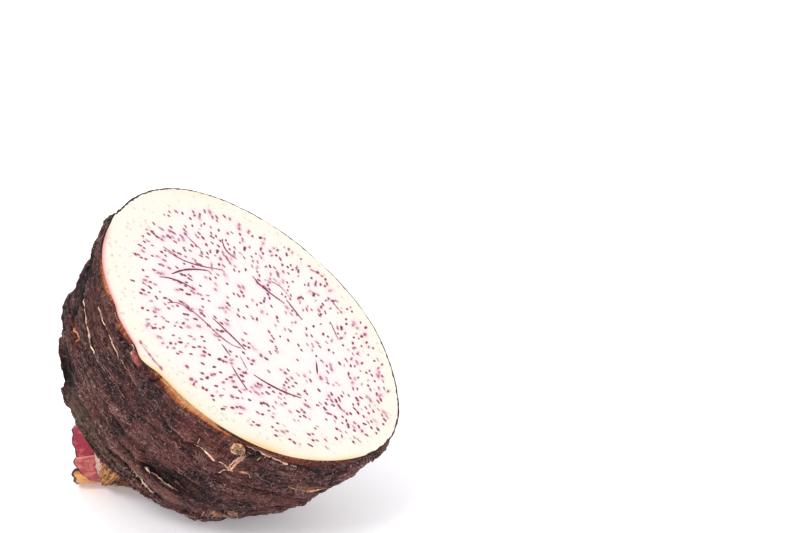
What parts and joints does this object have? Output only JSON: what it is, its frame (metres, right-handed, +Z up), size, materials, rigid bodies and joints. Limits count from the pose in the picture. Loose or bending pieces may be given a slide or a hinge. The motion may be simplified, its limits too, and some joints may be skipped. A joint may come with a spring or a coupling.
{
  "type": "taro root",
  "caption": "Taro corm cut in half across, lying on its ringed fibrous bark with the purple-flecked cut face leaning back and a stump of pink leaf sheaths at the apex.",
  "frame": {"origin": "centre of the bounding box in plan, on the surface that the half lies on", "axes": "+Z up as the half lies; -Y is the front; the cut face looks up, towards +X and a little towards -Y, and the leaf stump points along -X"},
  "size_m": [0.1192, 0.11, 0.1102],
  "materials": {
    "bark": "rough, fibrous, dark brown",
    "flesh": "matte, freshly cut, creamy white with maroon flecks",
    "shoot": "satin, pink and crimson leaf sheaths"
  },
  "bodies": {
    "root": {"corm": "bark", "shoot": "shoot"}
  },
  "joints": []
}
